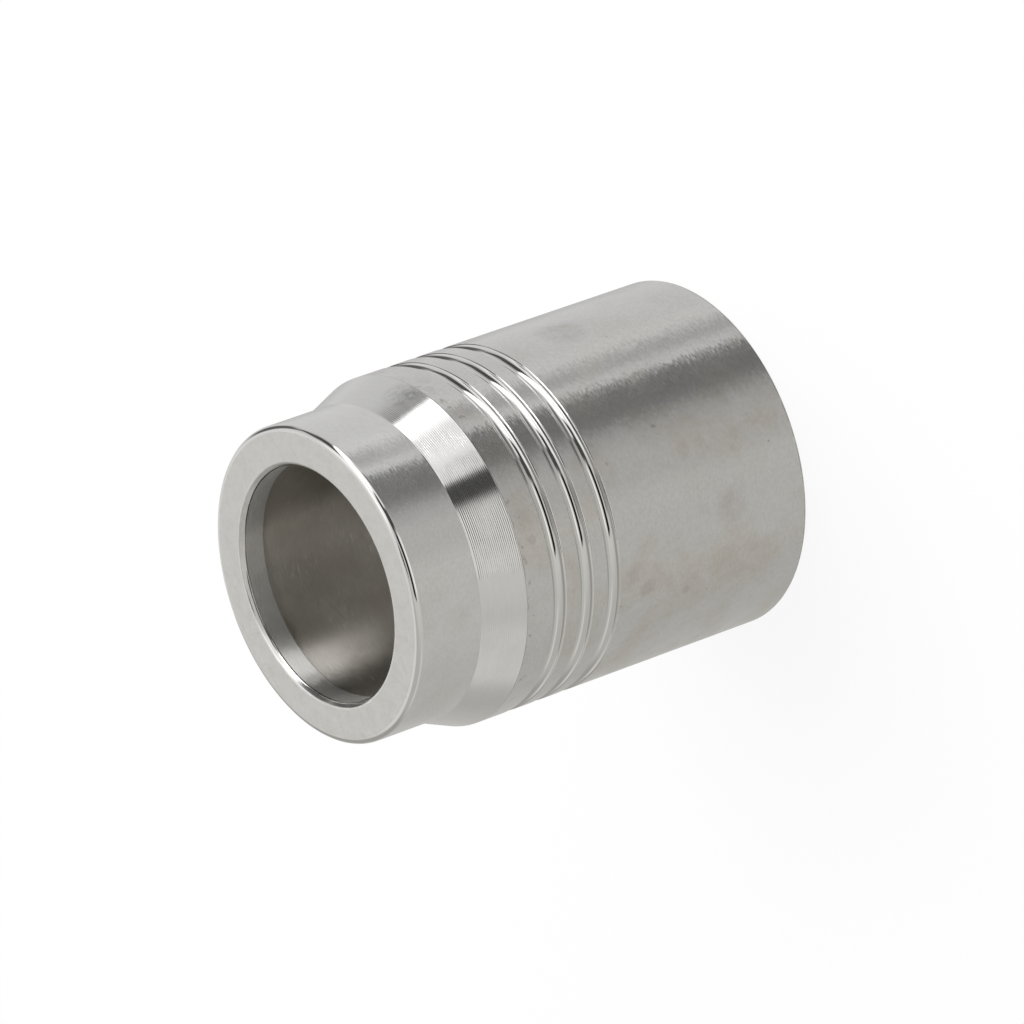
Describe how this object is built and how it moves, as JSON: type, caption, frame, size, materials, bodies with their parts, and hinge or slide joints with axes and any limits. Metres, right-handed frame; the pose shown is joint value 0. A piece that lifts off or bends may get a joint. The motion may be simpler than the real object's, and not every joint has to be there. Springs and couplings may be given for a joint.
{
  "type": "crimp hose ferrule",
  "caption": "Turned stainless steel crimp ferrule for a hydraulic hose: a plain shell with grooves round it, a flare, a narrower collar and a toothed hose bore.",
  "frame": {"origin": "centre of the hose end's face, which the ferrule stands on", "axes": "+Z along the turning axis, from the hose end to the collar; the part is round about Z, so X and Y are free"},
  "size_m": [0.038, 0.038, 0.0502],
  "materials": {
    "stainless_steel": "fine turned satin, with polished grooves and rim"
  },
  "bodies": {
    "root": {"ferrule": "stainless_steel"}
  },
  "joints": []
}
